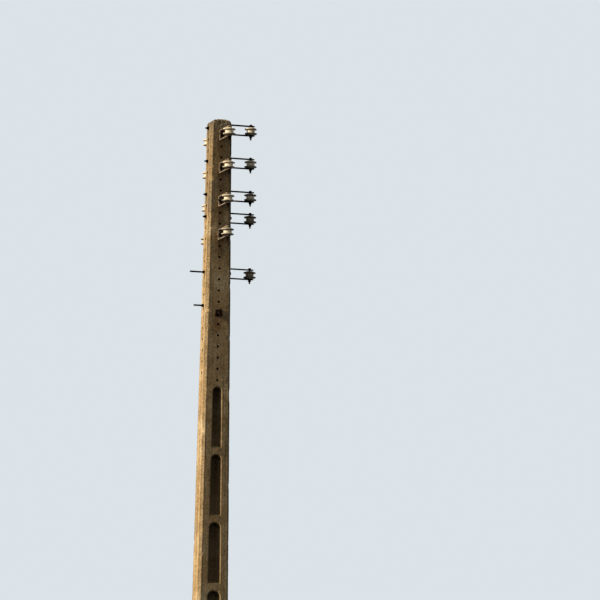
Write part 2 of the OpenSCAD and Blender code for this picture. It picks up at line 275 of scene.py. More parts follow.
# Turns a finished bmesh into a piece that stands for its CAD nodes
def newPiece(name, bm, material, nodes, sharpAngle=35):
    sharp = math.radians(sharpAngle)
    for face in bm.faces:
        face.smooth = True
    for edge in bm.edges:
        edge.smooth = edge.calc_face_angle(0) < sharp
    piece = linkPlain(name, bm)
    piece.data.materials.append(material)
    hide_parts(*nodes)
    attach(piece, "root")
    return piece


def setAttribute(mesh, name, values, domain="POINT"):
    mesh.attributes.new(name, "FLOAT", domain).data.foreach_set("value", values)


def noiseAt(point, size):
    return noise.noise(point / size)


def rise(edge):
    return abs(edge.verts[0].co.z - edge.verts[1].co.z)


def edgesOf(verts):
    return list({e for v in verts for e in v.link_edges})


def bevelEdges(bm, edges, width, steps=2):
    bmesh.ops.bevel(bm, geom=edges, offset=width, offset_type="OFFSET", segments=steps, profile=0.5,
                    affect="EDGES", material=-1)


# Puts what was built outwards along +X from its seat against the face that turn points to
def placeOnFace(bm, seat, turn, z):
    bmesh.ops.transform(bm, verts=bm.verts, matrix=Matrix.Translation((0, 0, z))
                        @ Matrix.Rotation(turn, 4, "Z") @ Matrix.Translation((seat, 0, 0)))


shaft = dict(
    topWidth=195 * mm, topDepth=152 * mm, cornerCut=22 * mm, footFlat=0.1 * mm,
    rowHeight=12 * mm, wideColumns=15, narrowColumns=11, cutColumns=2, capStep=8.4 * mm,
    levelWithin=1 * mm,      # rounding in the many cuts tips a level edge by far less than this
    alongFactor=5, flatUp=0.9,
    crownZone=110 * mm, crownDrop=46 * mm, crownRun=80 * mm, crownBevel=12 * mm,
    leftDrop=40 * mm, leftRun=24 * mm,
    crownRough=2.5 * mm, roughSize=22 * mm, fineShare=0.6, fineSize=9 * mm,
    stoneSize=17 * mm, stoneRelief=6 * mm, stoneEdge=0.45,
    waveHeight=0.9 * mm, waveSize=160 * mm, rippleHeight=0.4 * mm, rippleSize=30 * mm,
    chipDepth=4 * mm, chipSize=55 * mm, chipReach=3 * mm, chipStart=0.28, chipSteepness=3,
    chipShift=(7, 3, 0),      # reads another place of the noise than the waves do
    holeDiameter=22 * mm, holePitch=100 * mm, faceHoleDrop=150 * mm, sideHoleDrop=80 * mm, holeCount=23,
    holeSides=24, holeRings=9, wallWithin=0.2 * mm, wallTilt=0.3,
    recessDrop=2400 * mm, recessHeight=550 * mm, recessPitch=600 * mm, recessCount=6, railWidth=76 * mm,
    recessDepth=64 * mm, lipWidth=14 * mm, lipDepth=12 * mm, wallLean=14 * mm, archSteps=24,
    cutOver=10 * mm,
)
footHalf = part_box("pole_shaft")[1]


def halfWidth(z):
    return footHalf.x + (shaft["topWidth"] / 2 - footHalf.x) * z / poleHeight


def halfDepth(z):
    return footHalf.y + (shaft["topDepth"] / 2 - footHalf.y) * z / poleHeight


# How far the worn top lies below full height at a place on it
def crownLoss(x, y):
    s = shaft
    fromRight = halfWidth(poleHeight) - x
    slope = clamp(1 - fromRight / s["crownRun"])
    bevel = max(0.0, s["crownBevel"] - (halfDepth(poleHeight) - abs(y)))
    left = s["leftDrop"] * math.exp(-(halfWidth(poleHeight) + x) / s["leftRun"])
    return max(s["crownDrop"] * (1 - math.sqrt(1 - slope * slope)), bevel, left)


def tallEdges(bm):
    return [e for e in bm.edges if rise(e) > poleHeight / 2]


# The side of the block that a level edge lies on: a wide face, a narrow one or a cut corner
def levelSide(edge):
    if rise(edge) > shaft["levelWithin"]:
        return "none"
    run = edge.verts[0].co - edge.verts[1].co
    if abs(run.x) > shaft["alongFactor"] * abs(run.y):
        return "wide"
    return "narrow" if abs(run.y) > shaft["alongFactor"] * abs(run.x) else "cut"


# The tapered block with cut corners, in a net fine enough to be weathered
def shaftBlock():
    s = shaft
    bm = bmesh.new()
    bmesh.ops.create_cube(bm, size=1.0)
    bmesh.ops.translate(bm, verts=bm.verts, vec=(0, 0, 0.5))
    for vert in bm.verts:
        z = vert.co.z * poleHeight
        vert.co = (math.copysign(halfWidth(z), vert.co.x), math.copysign(halfDepth(z), vert.co.y), z)
    bevelEdges(bm, tallEdges(bm), s["cornerCut"], steps=1)
    rows = round(poleHeight / s["rowHeight"])
    bmesh.ops.subdivide_edges(bm, edges=tallEdges(bm), cuts=rows - 1, use_grid_fill=True)
    for side in ("wide", "narrow", "cut"):
        level = [e for e in bm.edges if levelSide(e) == side]
        bmesh.ops.subdivide_edges(bm, edges=level, cuts=s[side + "Columns"], use_grid_fill=True)
    # a finer net round the crown, where stones stand out
    high = [e for e in bm.edges if min(v.co.z for v in e.verts) > poleHeight - s["crownZone"]
            and abs(e.verts[0].co.z + e.verts[1].co.z - 2 * poleHeight) > touching]
    bmesh.ops.subdivide_edges(bm, edges=high, cuts=1, use_grid_fill=True)
    # a fine grid on the flat top
    for axis, reach in ((Vector((1, 0, 0)), s["topWidth"] / 2), (Vector((0, 1, 0)), s["topDepth"] / 2)):
        lines = int(reach / s["capStep"])
        for i in range(-lines, lines + 1):
            cap = [f for f in bm.faces if f.normal.z > s["flatUp"]]
            edges = {e for f in cap for e in f.edges}
            verts = {v for f in cap for v in f.verts}
            bmesh.ops.bisect_plane(bm, geom=cap + list(edges) + list(verts), dist=touching,
                                   plane_co=axis * (i * s["capStep"]), plane_no=axis)
    return bm


# Weather on the block: worn crown, chipped corners and the slight waves of the form
def weatherBlock(bm):
    s = shaft
    base = poleHeight - s["crownZone"]
    bm.normal_update()
    for vert in bm.verts:
        point, normal = vert.co.copy(), vert.normal.copy()
        if point.z < s["footFlat"]:
            continue
        offset = s["waveHeight"] * noiseAt(point, s["waveSize"])
        offset += s["rippleHeight"] * noiseAt(point, s["rippleSize"])
        reach = abs(point.x) + abs(point.y) - halfWidth(point.z) - halfDepth(point.z)
        if abs(reach + s["cornerCut"]) < s["chipReach"]:
            chip = max(0.0, noiseAt(point + Vector(s["chipShift"]), s["chipSize"]) - s["chipStart"])
            offset -= min(chip * s["chipSteepness"], 1.0) * s["chipDepth"]
        vert.co = point + normal * offset
        if point.z > base:
            share = (point.z - base) / s["crownZone"]
            rough = abs(noiseAt(point, s["roughSize"])) + s["fineShare"] * abs(noiseAt(point, s["fineSize"]))
            vert.co.z -= (crownLoss(point.x, point.y) + s["crownRough"] * rough) * share
            stone = s["stoneEdge"] - noise.voronoi(point / s["stoneSize"])[0][0]
            push = s["stoneRelief"] * share * stone
            vert.co.x += normal.x * push
            vert.co.y += normal.y * push


# One recess as a solid to cut away: an arched outline sunk into the face in two leaning steps
def addRecessCutter(bm, index, facing):
    s = shaft
    top = poleHeight - s["recessDrop"] - index * s["recessPitch"]
    low = top - s["recessHeight"]
    mouth = halfWidth((top + low) / 2) - s["railWidth"]
    turns = [math.pi * k / s["archSteps"] for k in range(s["archSteps"] + 1)]
    outline = [(mouth * math.cos(t), top - mouth + mouth * math.sin(t)) for t in turns]
    outline += [(-mouth, low), (mouth, low)]
    y = facing * (halfDepth((top + low) / 2) + s["cutOver"])
    sunk = bm.faces.new([bm.verts.new((x, y, z)) for x, z in outline])
    sunk.normal_update()
    if sunk.normal.y * facing > 0:
        sunk.normal_flip()
    for width, depth in ((0, s["cutOver"]), (s["lipWidth"], s["lipDepth"]),
                         (s["wallLean"], s["recessDepth"] - s["lipDepth"])):
        bmesh.ops.inset_region(bm, faces=[sunk], thickness=width, depth=depth, use_even_offset=True,
                               use_boundary=True)
    bmesh.ops.holes_fill(bm, edges=[e for e in bm.edges if e.is_boundary])


def makeCutters():
    s = shaft
    bm = bmesh.new()
    radius = s["holeDiameter"] / 2
    for i in range(s["holeCount"]):
        for drop, axis in ((s["faceHoleDrop"], "X"), (s["sideHoleDrop"], "Y")):
            z = poleHeight - drop - i * s["holePitch"]
            start = len(bm.verts)
            made = bmesh.ops.create_cone(bm, cap_ends=True, segments=s["holeSides"], radius1=radius,
                                         radius2=radius, depth=2 * footHalf.x)
            lengthwise = [e for e in edgesOf(made["verts"]) if e.calc_length() > footHalf.x]
            bmesh.ops.subdivide_edges(bm, edges=lengthwise, cuts=s["holeRings"], use_grid_fill=True)
            across = Matrix.Translation((0, 0, z)) @ Matrix.Rotation(quarterTurn, 4, axis)
            bmesh.ops.transform(bm, matrix=across, verts=bm.verts[start:])
    for i in range(s["recessCount"]):
        for facing in (-1, 1):
            addRecessCutter(bm, i, facing)
    bmesh.ops.recalc_face_normals(bm, faces=bm.faces)
    return bm


def makeShaft():
    block = shaftBlock()
    weatherBlock(block)
    body = linkPlain("shaftBody", block)
    cutters = linkPlain("shaftCutters", makeCutters())
    cut = body.modifiers.new("holes", "BOOLEAN")
    cut.operation, cut.solver, cut.object = "DIFFERENCE", "EXACT", cutters
    bpy.context.view_layer.update()
    shape = bpy.data.meshes.new_from_object(body.evaluated_get(bpy.context.evaluated_depsgraph_get()))
    bpy.data.objects.remove(body)
    bpy.data.objects.remove(cutters)
    bm = bmesh.new()
    bm.from_mesh(shape)
    return newPiece("concreteShaft", bm, concreteSkin, ["pole_shaft"], sharpAngle=32)


shaftPiece = makeShaft()
print("shaft made", len(shaftPiece.data.polygons))


# Whether a face of the shaft is the wall of a bolt hole
def inHole(face):
    s = shaft
    c, n = face.center, face.normal
    for drop, aside, tilt in ((s["faceHoleDrop"], c.x, n.y), (s["sideHoleDrop"], c.y, n.x)):
        place = (poleHeight - c.z - drop) / s["holePitch"]
        nearest = clamp(round(place), 0, s["holeCount"] - 1)
        fromAxis = math.hypot(aside, (place - nearest) * s["holePitch"])
        if fromAxis < s["holeDiameter"] / 2 + s["wallWithin"] and abs(tilt) < s["wallTilt"]:
            return True
    return False


# Where grime, painted shade, rust and wear lie on the shaft, and how strongly
stain = dict(
    onFace=2.5 * mm, margin=1 * mm,      # how far a weathered place may stray from the plane it belongs to
    raggedSize=90 * mm, raggedMiddle=0.7, raggedSwing=0.6,
    # the arch, lip and hole values below paint shade into the recesses and the bolt holes
    archShade=1.0, recessFloor=0.0, archFade=95 * mm, archFaceShade=0.97, holeShade=0.92, lipShade=0.70,
    floorRun=12 * mm, railEdge=8 * mm,
    topDirt=0.78, topFade=240 * mm,
    shadeSide=0.33, shadeFrom=-30 * mm, shadeRun=45 * mm, shadeDrop=1350 * mm, shadeFade=150 * mm,
    # the right corner values paint shade on the right cut corner, which faces away from the key
    rightCorner=1.0, rightCornerFade=5000 * mm, rightCornerLift=0.2,
    sunSideDirt=0.30, sunSideFade=700 * mm, leftCut=0.24, leftCorner=0.72, frontCorner=0.55,
    cornerLine=4 * mm, columnTint=0.12, columnTop=0.50, columnFade=800 * mm, columnWidth=20 * mm,
    holeStreak=0.40, streakFade=45 * mm,
    underFitting=0.65, runStart=30 * mm, runLength=300 * mm, runWidth=22 * mm, runGrain=10 * mm,
    runGrainLength=60 * mm, runMiddle=0.5, rustBase=0.4, rustMost=0.8,
    crownZone=130 * mm, crownGrime=0.16, crownWashed=1.0, crownWear=1.2, cornerWear=0.25, wearLine=6 * mm,
)


# Painted shade with grime in a recess: black under its arch, paler down the floor, and heavy in the slope of
# the lip
def recessShadeAndGrime(p, depth):
    s = stain
    if depth < shaft["lipDepth"]:
        return s["lipShade"] * depth / shaft["lipDepth"]
    fall = (poleHeight - shaft["recessDrop"] - p.z) % shaft["recessPitch"]
    floor = s["recessFloor"] + (s["archShade"] - s["recessFloor"]) * math.exp(-fall / s["archFade"])
    share = min((depth - shaft["lipDepth"]) / s["floorRun"], 1)
    return s["lipShade"] + (floor - s["lipShade"]) * share


# Grime and painted shade on the outer faces: grime on the top, the corners and the streaks below the holes,
# painted shade on the right half and the right cut corner
def faceGrimeAndShade(p, fromSide, fromFace):
    s = stain
    top = poleHeight - p.z
    # painted shade on the right half, from the top down to shadeDrop
    shade = clamp((p.x - s["shadeFrom"]) / s["shadeRun"]) * clamp((s["shadeDrop"] - top) / s["shadeFade"])
    grimeAndShade = max(s["shadeSide"] * shade, s["topDirt"] * math.exp(-top / s["topFade"]))
    inCut = fromSide + fromFace < shaft["cornerCut"] + s["margin"] and min(fromSide, fromFace) > s["margin"]
    ragged = s["raggedMiddle"] + s["raggedSwing"] * noiseAt(p, s["raggedSize"])
    if p.x > 0:
        # painted shade on the right cut corner
        edge = s["rightCorner"] * math.exp(-top / s["rightCornerFade"])
        return max(grimeAndShade, edge * min(ragged + s["rightCornerLift"], 1)) if inCut else grimeAndShade
    if fromSide < shaft["cornerCut"]:
        grimeAndShade = max(grimeAndShade, s["sunSideDirt"] * math.exp(-top / s["sunSideFade"]), s["leftCut"] * inCut)
    if fromFace < s["onFace"] and abs(fromSide - shaft["cornerCut"]) < s["cornerLine"]:
        grimeAndShade = max(grimeAndShade, s["frontCorner"] * ragged)
    if fromSide < s["onFace"] and abs(fromFace - shaft["cornerCut"]) < s["cornerLine"]:
        grimeAndShade = max(grimeAndShade, s["leftCorner"] * ragged)
    if fromSide < s["onFace"] and abs(p.y) < s["columnWidth"]:
        fall = (poleHeight - shaft["sideHoleDrop"] - p.z) % shaft["holePitch"]
        tint = s["columnTint"] + s["columnTop"] * math.exp(-top / s["columnFade"])
        grimeAndShade = max(grimeAndShade, tint + s["holeStreak"] * ragged * math.exp(-fall / s["streakFade"]))
    return grimeAndShade


# Painted shade on a face of the shaft: whole in the bolt holes, and fading down from the arch of a recess
def paintedShadeOn(face):
    if inHole(face):
        return stain["holeShade"]
    c = face.center
    deep = halfDepth(c.z) - abs(c.y) > shaft["lipDepth"] + stain["margin"]
    belowFirst = poleHeight - c.z >= shaft["recessDrop"]
    if not deep or not belowFirst or halfWidth(c.z) - abs(c.x) < shaft["railWidth"]:
        return 0.0
    fall = (poleHeight - shaft["recessDrop"] - c.z) % shaft["recessPitch"]
    return stain["archFaceShade"] * math.exp(-fall / stain["archFade"])


# Marks of weather and painted shade on the shaft, kept as attributes for the concrete's material
def stainShaft(piece):
    s = stain
    fittings = [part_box(n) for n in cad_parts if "bracket" in n or n.startswith("eye")]
    grimeAndShade, rust, wear = [], [], []
    for vert in piece.data.vertices:
        p = vert.co
        fromSide, fromFace = halfWidth(p.z) - abs(p.x), halfDepth(p.z) - abs(p.y)
        belowCrown = clamp(1 - (poleHeight - p.z) / s["crownZone"])
        under = 0.0
        for lo, hi in fittings:
            fall = lo.z + s["runStart"] - p.z
            if 0 < fall < s["runLength"]:
                beside = Vector((max(lo.x - p.x, 0, p.x - hi.x), max(lo.y - p.y, 0, p.y - hi.y))).length
                under = max(under, (1 - fall / s["runLength"]) * max(0, 1 - beside / s["runWidth"]))
        across = Vector((p.x, p.y, 0)) / s["runGrain"]
        ragged = s["runMiddle"] + noise.noise(across + Vector((0, 0, p.z / s["runGrainLength"])))
        sunk = fromFace > s["onFace"] and fromSide > shaft["railWidth"] - s["railEdge"]
        inRecess = sunk and belowCrown == 0
        # both the recess and the face values carry grime and painted shade
        dirtAndShade = recessShadeAndGrime(p, fromFace) if inRecess else faceGrimeAndShade(p, fromSide, fromFace)
        sunSide = p.x < 0 and fromSide < shaft["cornerCut"]
        washed = 0 if sunSide else s["crownWashed"] * belowCrown
        grimeAndShade.append(min(dirtAndShade * (1 - washed) + s["crownGrime"] * belowCrown * ragged, 1))
        rust.append(clamp(s["underFitting"] * under * (s["rustBase"] + ragged), 0, s["rustMost"]))
        onCorner = abs(fromSide + fromFace - shaft["cornerCut"]) < s["wearLine"]
        wear.append(clamp(s["crownWear"] * belowCrown + s["cornerWear"] * onCorner))
    setAttribute(piece.data, "grimeAndShade", grimeAndShade)
    setAttribute(piece.data, "rust", rust)
    setAttribute(piece.data, "wear", wear)
    # this face attribute holds painted shade in the holes and under the arches
    setAttribute(piece.data, "sootAndShade", [paintedShadeOn(face) for face in piece.data.polygons], "FACE")


stainShaft(shaftPiece)
print("shaft stained")


bar = dict(
    thickness=8 * mm, bendRadius=7 * mm, bendSteps=8, endFlat=1 * mm, endSteps=8, edgeRound=1.2 * mm,
    # the hollow and rim values paint shade inside the U
    sharpFrom=1.2, hollowShade=0.8, rimShade=0.2, shadeMargin=0.6 * mm, shadePast=1 * mm,
)


# A bracket as it is made: flat bar with round ends, bent into a U about the spool's height
def makeBracket(name, node, seat, turn, z, material):
    s = bar
    lo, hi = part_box(node)
    width = min(hi.x - lo.x, hi.y - lo.y)
    length = max(hi.x - lo.x, hi.y - lo.y)
    height = hi.z - lo.z
    outer = s["bendRadius"] + s["thickness"]
    web = height - 2 * outer
    bend = quarterTurn * (s["bendRadius"] + s["thickness"] / 2)      # its length along the bar's middle
    flat = web + 2 * (bend + length - outer)
    bm = bmesh.new()
    sootAndShade = bm.verts.layers.float.new("sootAndShade")
    bmesh.ops.create_cube(bm, size=1.0)
    bmesh.ops.scale(bm, vec=(flat, width, s["thickness"]), verts=bm.verts)
    ends = [e for e in bm.edges if rise(e) > s["thickness"] / 2]
    bevelEdges(bm, ends, (width - s["endFlat"]) / 2, s["endSteps"])
    rims = [e for e in bm.edges if e.calc_face_angle(0) > s["sharpFrom"]]
    bevelEdges(bm, rims, s["edgeRound"])
    for side in (-1, 1):
        for i in range(s["bendSteps"] + 1):
            at = side * (web / 2 + bend * i / s["bendSteps"])
            bmesh.ops.bisect_plane(bm, geom=bm.verts[:] + bm.edges[:] + bm.faces[:], dist=touching,
                                   plane_co=(at, 0, 0), plane_no=(1, 0, 0))
    for vert in bm.verts:
        along, across, out = vert.co
        side, run = math.copysign(1, along), abs(along)
        depth = s["thickness"] / 2 + out      # 0 on the back of the bar, one thickness on its front
        # the hollow of the U gets painted shade, one half of it more than the other
        inHollow = out > 0 and run < web / 2 + bend + s["shadePast"]
        offRim = abs(across) < width / 2 - s["shadeMargin"]
        vert[sootAndShade] = inHollow * offRim * (s["hollowShade"] if across > 0 else s["rimShade"])
        if run <= web / 2:
            vert.co = (depth, across, along)
        elif run <= web / 2 + bend:
            angle, radius = (run - web / 2) / bend * quarterTurn, outer - depth
            vert.co = (outer - radius * math.cos(angle), across, side * (web / 2 + radius * math.sin(angle)))
        else:
            vert.co = (outer + run - web / 2 - bend, across, side * (height / 2 - depth))
    bmesh.ops.recalc_face_normals(bm, faces=bm.faces)
    placeOnFace(bm, seat, turn, z)
    return newPiece(name, bm, material, [node], sharpAngle=50)


spool = dict(
    rimEdge=6.5 * mm, rimGap=42 * mm, rimSteps=8, groove=37 * mm, grooveBlend=7 * mm, blendSteps=6,
    boss=27 * mm, bossEdge=0.8 * mm, bossFlat=0.6 * mm, bore=10 * mm, steps=56,
    shoulder=3 * mm, shoulderDrop=4 * mm, shoulderRun=4 * mm, shoulderFall=0.6 * mm,
    # the under value paints shade on faces that look downwards
    underShade=0.7, rimSpread=2.5, patchSize=20 * mm, patchMiddle=0.8, patchSwing=0.7,
    leastDirtAndShade=0.02, mostDirtAndShade=0.97,
)


# Half of a spool's outline, from its mid height up to the bore, as (radius, height)
def spoolOutline(rimRadius, height):
    s = spool
    edge, rimHeight = s["rimEdge"], s["rimGap"] / 2
    top, shoulder = height / 2, s["boss"] + s["shoulder"]
    points = [(s["groove"], 0)]
    for i in range(s["blendSteps"] + 1):      # hollow curve from the groove out to the rim
        t = quarterTurn * i / s["blendSteps"]
        points.append((s["groove"] + s["grooveBlend"] * (1 - math.cos(t)),
                       rimHeight - edge - s["grooveBlend"] * (1 - math.sin(t))))
    for i in range(s["rimSteps"] + 1):      # round edge of the rim
        t = 2 * quarterTurn * i / s["rimSteps"] - quarterTurn
        points.append((rimRadius - edge + edge * math.cos(t), rimHeight + edge * math.sin(t)))
    points += [(shoulder + s["shoulderRun"], top - s["shoulderDrop"] - s["shoulderFall"]),
               (shoulder, top - s["shoulderDrop"]), (s["boss"] + s["bossEdge"], top - s["bossEdge"]),
               (s["boss"] - s["bossFlat"], top), (s["bore"], top)]
    return points


def makeSpool(name, node, material, slot, barrelDirt, upperDirtAndShade, lowerDirtAndShade):
    s = spool
    lo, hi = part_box(node)
    centre = (lo + hi) / 2
    rimRadius = (hi.x - lo.x) / 2
    upper = spoolOutline(rimRadius, hi.z - lo.z)
    profile = [(r, -h) for r, h in reversed(upper[1:])] + upper
    bm = bmesh.new()
    verts = [bm.verts.new((r, 0, h)) for r, h in profile]
    edges = [bm.edges.new(pair) for pair in zip(verts, verts[1:] + verts[:1])]
    bmesh.ops.spin(bm, geom=verts + edges, cent=(0, 0, 0), axis=(0, 0, 1), dvec=(0, 0, 0),
                   angle=fullTurn, steps=s["steps"], use_merge=True, use_duplicate=False)
    bmesh.ops.remove_doubles(bm, verts=bm.verts, dist=touching)
    bmesh.ops.recalc_face_normals(bm, faces=bm.faces)
    bmesh.ops.translate(bm, verts=bm.verts, vec=centre)
    piece = newPiece(name, bm, material, [node], sharpAngle=50)
    dirtAndShade = []
    for vert in piece.data.vertices:
        offset, normal = vert.co - centre, vert.normal
        past = math.hypot(offset.x, offset.y) - s["groove"]
        onRim = clamp(past / (rimRadius - s["groove"]) * s["rimSpread"])
        if abs(offset.z) > s["rimGap"] / 2:
            onRim = 1
        rimDirtAndShade = upperDirtAndShade if offset.z > 0 else lowerDirtAndShade
        # the rim values and the last term paint shade: on the rims and on faces that look downwards
        amount = barrelDirt + (rimDirtAndShade - barrelDirt) * onRim + s["underShade"] * max(-normal.z, 0)
        patchy = s["patchMiddle"] + s["patchSwing"] * noiseAt(vert.co, s["patchSize"])
        dirtAndShade.append(clamp(amount * patchy, s["leastDirtAndShade"], s["mostDirtAndShade"]))
    setAttribute(piece.data, "dirtAndShade", dirtAndShade)
    return piece


bolt = dict(
    diameter=16 * mm, flats=24 * mm, nut=14 * mm, head=11 * mm, washer=32 * mm, washerThick=3 * mm,
    tail=19 * mm, hexRound=1.0 * mm, washerRound=0.6 * mm, shankRound=0.2 * mm, shankSides=24,
    pitch=2.5 * mm, threadDepth=1.3 * mm, threadSteps=12, ridgeWidth=0.96, ridgeSink=0.4 * mm,
    coreOver=0.1 * mm, coreRound=0.9 * mm, coreSides=20, endTurns=1.2, overlap=1 * mm,
    spoolTurn=37, throughTurn=23,      # radians for each metre of height: every bolt stops at its own angle
)


# Parts of a bolt, each built along +Z from a base height into the bmesh that is passed in
def addRound(bm, base, height, radius, edge, sides=32):
    made = bmesh.ops.create_cone(bm, cap_ends=True, segments=sides, radius1=radius, radius2=radius,
                                 depth=height)
    bmesh.ops.translate(bm, verts=made["verts"], vec=(0, 0, base + height / 2))
    bevelEdges(bm, [e for e in edgesOf(made["verts"]) if rise(e) < touching], edge)


def addHex(bm, base, height):
    addRound(bm, base, height, bolt["flats"] / math.sqrt(3), bolt["hexRound"], sides=6)


def addWasher(bm, base):
    addRound(bm, base, bolt["washerThick"], bolt["washer"] / 2, bolt["washerRound"])


def addShank(bm, base, length):
    addRound(bm, base, length, bolt["diameter"] / 2, bolt["shankRound"], sides=bolt["shankSides"])


def addThread(bm, base, length):
    s = bolt
    outer, root, pitch = s["diameter"] / 2, s["diameter"] / 2 - s["threadDepth"], s["pitch"]
    addRound(bm, base, length, root + s["coreOver"], s["coreRound"], sides=s["coreSides"])
    turns, steps = int((length - s["endTurns"] * pitch) / pitch), s["threadSteps"]
    foot = root - s["ridgeSink"]
    verts = [bm.verts.new(p) for p in ((foot, 0, base), (outer, 0, base + pitch / 2),
                                       (foot, 0, base + pitch * s["ridgeWidth"]))]
    ridge = bm.faces.new(verts)
    bmesh.ops.spin(bm, geom=[ridge], cent=(0, 0, 0), axis=(0, 0, 1), dvec=(0, 0, pitch / steps),
                   angle=fullTurn * turns, steps=steps * turns, use_merge=False, use_duplicate=False)


# All spool bolts of one side: head above the bracket, washer, nut and threaded end below
def makeSpoolBolts(name, node, side, count):
    s = bolt
    bm = bmesh.new()
    for i in range(count):
        centre = sum(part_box(f"{side}_spool_{i + 1}"), Vector()) / 2
        lo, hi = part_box(f"{side}_bracket_{i + 1}")
        centre.z = (lo.z + hi.z) / 2
        half = (hi.z - lo.z) / 2
        nutTop = -half - s["washerThick"]
        one = bmesh.new()
        addHex(one, half, s["head"])
        addShank(one, nutTop - s["overlap"], half - nutTop + 2 * s["overlap"])
        addWasher(one, nutTop)
        addHex(one, nutTop - s["nut"], s["nut"])
        addThread(one, nutTop - s["nut"] - s["tail"], s["tail"] + s["overlap"])
        turned = Matrix.Rotation(centre.z * s["spoolTurn"], 4, "Z")
        bmesh.ops.transform(one, verts=one.verts, matrix=Matrix.Translation(centre) @ turned)
        mesh = bpy.data.meshes.new("boltPart")
        one.to_mesh(mesh)
        one.free()
        bm.from_mesh(mesh)
        bpy.data.meshes.remove(mesh)
    bmesh.ops.recalc_face_normals(bm, faces=bm.faces)
    return newPiece(name, bm, boltSteel, [node], sharpAngle=40)


# A through bolt: the box of its CAD node gives its two ends, and its seats are given
def makeThroughBolt(name, node, axis, headSeat, nutSeat):
    s = bolt
    lo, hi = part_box(node)
    z = (lo.z + hi.z) / 2
    tip = -lo.x if axis == "-X" else hi.y
    headBase = -headSeat - s["washerThick"]
    nutBase = nutSeat + s["washerThick"]
    nutEnd = nutBase + s["nut"]
    bm = bmesh.new()
    addHex(bm, headBase - s["head"], s["head"])
    addWasher(bm, headBase)
    addShank(bm, -headSeat - 2 * s["overlap"], headSeat + nutSeat + 4 * s["overlap"])
    addWasher(bm, nutSeat)
    addHex(bm, nutBase, s["nut"])
    addThread(bm, nutEnd - s["overlap"], tip - nutEnd + s["overlap"])
    bmesh.ops.recalc_face_normals(bm, faces=bm.faces)
    turned = Matrix.Rotation(z * s["throughTurn"], 4, "Z")
    laid = Matrix.Rotation(-quarterTurn, 4, "Y" if axis == "-X" else "X")
    bmesh.ops.transform(bm, verts=bm.verts, matrix=Matrix.Translation((0, 0, z)) @ laid @ turned)
    return newPiece(name, bm, boltSteel, [node], sharpAngle=40)


eye = dict(
    ringWire=15 * mm, inside=38 * mm, wireSides=16, ringSteps=40, plate=60 * mm, plateThick=6 * mm,
    plateRound=1 * mm, boss=28 * mm, bossTip=20 * mm, bossLength=22 * mm, bossSides=28, bossInRing=4 * mm,
)


# A forged line eye with its square plate, against the face it is drawn up to
def makeEye(name, node, turn, withShank):
    s = eye
    lo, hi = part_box(node)
    z = (lo.z + hi.z) / 2
    seat = halfDepth(z - s["plate"] / 2)
    ringRadius = (s["inside"] + s["ringWire"]) / 2
    bm = bmesh.new()
    wire = bmesh.ops.create_circle(bm, cap_ends=False, segments=s["wireSides"], radius=s["ringWire"] / 2)
    bmesh.ops.translate(bm, verts=wire["verts"], vec=(ringRadius, 0, 0))
    bmesh.ops.spin(bm, geom=wire["verts"] + edgesOf(wire["verts"]), cent=(0, 0, 0), axis=(0, 1, 0),
                   dvec=(0, 0, 0), angle=fullTurn, steps=s["ringSteps"], use_merge=True, use_duplicate=False)
    bmesh.ops.translate(bm, verts=bm.verts, vec=(s["plateThick"] + s["bossLength"] + ringRadius, 0, 0))
    reach = s["bossLength"] + s["bossInRing"]
    laid = Matrix.Rotation(quarterTurn, 4, "Y")
    boss = bmesh.ops.create_cone(bm, cap_ends=True, segments=s["bossSides"], radius1=s["boss"] / 2,
                                 radius2=s["bossTip"] / 2, depth=reach)
    bmesh.ops.transform(bm, verts=boss["verts"],
                        matrix=Matrix.Translation((s["plateThick"] + reach / 2, 0, 0)) @ laid)
    plate = bmesh.ops.create_cube(bm, size=1.0)
    bmesh.ops.scale(bm, vec=(s["plateThick"], s["plate"], s["plate"]), verts=plate["verts"])
    bmesh.ops.translate(bm, verts=plate["verts"], vec=(s["plateThick"] / 2, 0, 0))
    bevelEdges(bm, edgesOf(plate["verts"]), s["plateRound"])
    if withShank:
        shank = bmesh.ops.create_cone(bm, cap_ends=True, segments=bolt["shankSides"], depth=2 * seat,
                                      radius1=bolt["diameter"] / 2, radius2=bolt["diameter"] / 2)
        bmesh.ops.transform(bm, verts=shank["verts"], matrix=Matrix.Translation((-seat, 0, 0)) @ laid)
    bmesh.ops.recalc_face_normals(bm, faces=bm.faces)
    placeOnFace(bm, seat, turn, z)
    return newPiece(name, bm, boltSteel, [node], sharpAngle=40)


# Dirt on the barrel, the upper rim and the lower rim of each spool, from the top down, with painted shade in
# the rim values
spoolDirtAndShade = dict(
    right=[(0.02, 0.20, 0.90), (0.0, 0.45, 0.70), (0.05, 0.95, 0.90), (0.08, 0.90, 0.95), (0.15, 0.85, 0.95)],
    front=[(0.0, 0.05, 0.50), (0.0, 0.20, 0.50), (0.05, 0.38, 0.60), (0.12, 0.60, 0.70)],
    back=[(0.0, 0.0, 0.0), (0.0, 0.0, 0.05), (0.0, 0.05, 0.05), (0.25, 0.45, 0.45)],
)
creamCount = 3      # the right-hand spools below these are olive brown
for side, count, turn in (("right", rightCount, 0.0), ("front", faceCount, -quarterTurn),
                          ("back", faceCount, quarterTurn)):
    for i in range(count):
        bracketNode, spoolNode = f"{side}_bracket_{i + 1}", f"{side}_spool_{i + 1}"
        lo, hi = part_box(bracketNode)
        seat = {"right": lo.x, "front": -hi.y, "back": lo.y}[side]
        # the right-hand brackets take the darker copy, which is painted shade
        makeBracket(f"{side}Bracket{i + 1}", bracketNode, seat, turn, (lo.z + hi.z) / 2,
                    shadedBar if side == "right" else paleBar)
        brown = side == "right" and i >= creamCount
        makeSpool(f"{side}Spool{i + 1}", spoolNode, brownGlaze if brown else creamGlaze,
                  "brown_glaze" if brown else "cream_glaze", *spoolDirtAndShade[side][i])
    makeSpoolBolts(f"{side}SpoolBolts", f"{side}_spool_bolts", side, count)
print("brackets and spools made")


